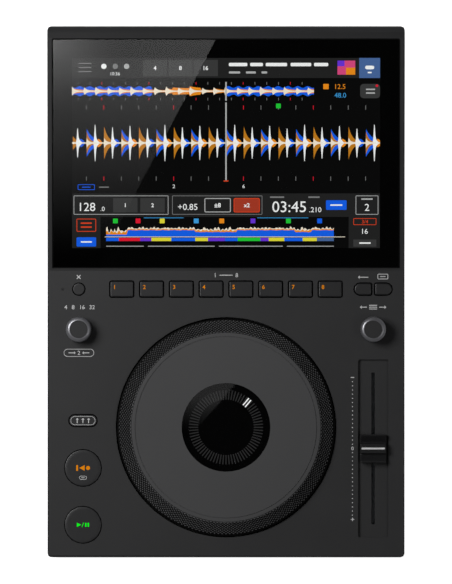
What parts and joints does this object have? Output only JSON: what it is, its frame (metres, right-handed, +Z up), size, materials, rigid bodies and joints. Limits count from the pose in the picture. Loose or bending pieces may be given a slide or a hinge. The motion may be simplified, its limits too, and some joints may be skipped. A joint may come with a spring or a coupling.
{
  "type": "tabletop dj media player",
  "caption": "Flat tabletop player with a large knurled jog wheel, pads, push buttons, two push-and-turn knobs, a long tempo fader, a tilted touch screen and a rear jack bay.",
  "frame": {"origin": "on the table, under the middle of the outline", "axes": "+X to the user's right, +Y to the rear, where the screen is, +Z up"},
  "size_m": [0.2518, 0.3744, 0.0725],
  "materials": {
    "shell": "fine matt moulding",
    "tray": "matt moulding",
    "key": "satin moulding",
    "dial": "knurled moulding",
    "platter": "satin black anodised",
    "knob": "grey satin",
    "glass": "polished",
    "display": "display panel",
    "steel": "plain",
    "resin": "moulded acetal",
    "board": "solder mask",
    "rubber": "matt"
  },
  "bodies": {
    "chassis": {"top_case": "shell", "bottom_case": "tray", "rear_panel": "tray", "screen_glass": "glass", "lcd_panel": "display", "display_bracket": "steel", "jog_base": "tray", "jog_bushing": "resin", "jog_retainer": "steel", "jog_display": "display", "jog_sensor": "tray", "control_board": "board", "main_board": "board", "power_supply": "board", "beat_loop_encoder": "steel", "browse_encoder": "steel", "fader_panel": "shell", "fader_frame": "steel", "mains_inlet": "tray", "phono_jacks": "steel", "indicator_lamp": "glass", "lan_jack": "steel", "usb_a_port": "steel", "usb_b_port": "steel", "foot_front_left": "rubber", "foot_front_right": "rubber", "foot_rear_left": "rubber", "foot_rear_right": "rubber", "case_screw_front_left": "steel", "case_screw_front_right": "steel", "case_screw_mid_left": "steel", "case_screw_mid_right": "steel", "case_screw_rear_left": "steel", "case_screw_rear_right": "steel"},
    "jog_wheel": {"jog_hub": "dial", "encoder_ring": "dial", "jog_ring": "dial", "jog_platter": "platter", "jog_window": "glass"},
    "hot_cue_button_1": {"hot_cue_button_1": "key"},
    "hot_cue_button_2": {"hot_cue_button_2": "key"},
    "hot_cue_button_3": {"hot_cue_button_3": "key"},
    "hot_cue_button_4": {"hot_cue_button_4": "key"},
    "hot_cue_button_5": {"hot_cue_button_5": "key"},
    "hot_cue_button_6": {"hot_cue_button_6": "key"},
    "hot_cue_button_7": {"hot_cue_button_7": "key"},
    "hot_cue_button_8": {"hot_cue_button_8": "key"},
    "delete_button": {"delete_button": "key"},
    "back_button": {"back_button": "key"},
    "tag_button": {"tag_button": "key"},
    "shift_button": {"shift_button": "key"},
    "cue_button": {"cue_button": "key"},
    "play_button": {"play_button": "key"},
    "power_button": {"power_button": "key"},
    "beat_loop_rotor": {"beat_loop_rotor": "resin"},
    "beat_loop_knob": {"beat_loop_knob": "knob"},
    "browse_rotor": {"browse_rotor": "resin"},
    "browse_knob": {"browse_knob": "knob"},
    "tempo_fader": {"fader_lever": "steel", "fader_cap": "key"}
  },
  "joints": [
    {"name": "jog_spin", "type": "hinge", "parent": "chassis", "child": "jog_wheel", "pos_m": [0, -0.09538, 0.05], "axis": [0, 0, 1], "continuous": true},
    {"name": "hot_cue_1_press", "type": "slide", "parent": "chassis", "child": "hot_cue_button_1", "axis": [0, 0, 1], "range_m": [-0.0008, 0], "stiffness_N_per_m": 300, "springref_m": 0.001},
    {"name": "hot_cue_2_press", "type": "slide", "parent": "chassis", "child": "hot_cue_button_2", "axis": [0, 0, 1], "range_m": [-0.0008, 0], "stiffness_N_per_m": 300, "springref_m": 0.001},
    {"name": "hot_cue_3_press", "type": "slide", "parent": "chassis", "child": "hot_cue_button_3", "axis": [0, 0, 1], "range_m": [-0.0008, 0], "stiffness_N_per_m": 300, "springref_m": 0.001},
    {"name": "hot_cue_4_press", "type": "slide", "parent": "chassis", "child": "hot_cue_button_4", "axis": [0, 0, 1], "range_m": [-0.0008, 0], "stiffness_N_per_m": 300, "springref_m": 0.001},
    {"name": "hot_cue_5_press", "type": "slide", "parent": "chassis", "child": "hot_cue_button_5", "axis": [0, 0, 1], "range_m": [-0.0008, 0], "stiffness_N_per_m": 300, "springref_m": 0.001},
    {"name": "hot_cue_6_press", "type": "slide", "parent": "chassis", "child": "hot_cue_button_6", "axis": [0, 0, 1], "range_m": [-0.0008, 0], "stiffness_N_per_m": 300, "springref_m": 0.001},
    {"name": "hot_cue_7_press", "type": "slide", "parent": "chassis", "child": "hot_cue_button_7", "axis": [0, 0, 1], "range_m": [-0.0008, 0], "stiffness_N_per_m": 300, "springref_m": 0.001},
    {"name": "hot_cue_8_press", "type": "slide", "parent": "chassis", "child": "hot_cue_button_8", "axis": [0, 0, 1], "range_m": [-0.0008, 0], "stiffness_N_per_m": 300, "springref_m": 0.001},
    {"name": "delete_press", "type": "slide", "parent": "chassis", "child": "delete_button", "axis": [0, 0, 1], "range_m": [-0.0005, 0], "stiffness_N_per_m": 300, "springref_m": 0.001},
    {"name": "back_press", "type": "slide", "parent": "chassis", "child": "back_button", "axis": [0, 0, 1], "range_m": [-0.0005, 0], "stiffness_N_per_m": 300, "springref_m": 0.001},
    {"name": "tag_press", "type": "slide", "parent": "chassis", "child": "tag_button", "axis": [0, 0, 1], "range_m": [-0.0005, 0], "stiffness_N_per_m": 300, "springref_m": 0.001},
    {"name": "shift_press", "type": "slide", "parent": "chassis", "child": "shift_button", "axis": [0, 0, 1], "range_m": [-0.0005, 0], "stiffness_N_per_m": 300, "springref_m": 0.001},
    {"name": "cue_press", "type": "slide", "parent": "chassis", "child": "cue_button", "axis": [0, 0, 1], "range_m": [-0.001, 0], "stiffness_N_per_m": 300, "springref_m": 0.001},
    {"name": "play_press", "type": "slide", "parent": "chassis", "child": "play_button", "axis": [0, 0, 1], "range_m": [-0.001, 0], "stiffness_N_per_m": 300, "springref_m": 0.001},
    {"name": "power_press", "type": "slide", "parent": "chassis", "child": "power_button", "axis": [0, 1, 0], "range_m": [-0.0011, 0], "stiffness_N_per_m": 300, "springref_m": 0.001},
    {"name": "beat_loop_turn", "type": "hinge", "parent": "chassis", "child": "beat_loop_rotor", "pos_m": [-0.1038, -0.02638, 0.05], "axis": [0, 0, 1], "continuous": true},
    {"name": "beat_loop_press", "type": "slide", "parent": "beat_loop_rotor", "child": "beat_loop_knob", "axis": [0, 0, 1], "range_m": [-0.0005, 0], "stiffness_N_per_m": 600, "springref_m": 0.001},
    {"name": "browse_turn", "type": "hinge", "parent": "chassis", "child": "browse_rotor", "pos_m": [0.1038, -0.02638, 0.05], "axis": [0, 0, 1], "continuous": true},
    {"name": "browse_press", "type": "slide", "parent": "browse_rotor", "child": "browse_knob", "axis": [0, 0, 1], "range_m": [-0.0005, 0], "stiffness_N_per_m": 600, "springref_m": 0.001},
    {"name": "tempo_slide", "type": "slide", "parent": "chassis", "child": "tempo_fader", "axis": [0, 1, 0], "range_m": [-0.05, 0.05]}
  ]
}
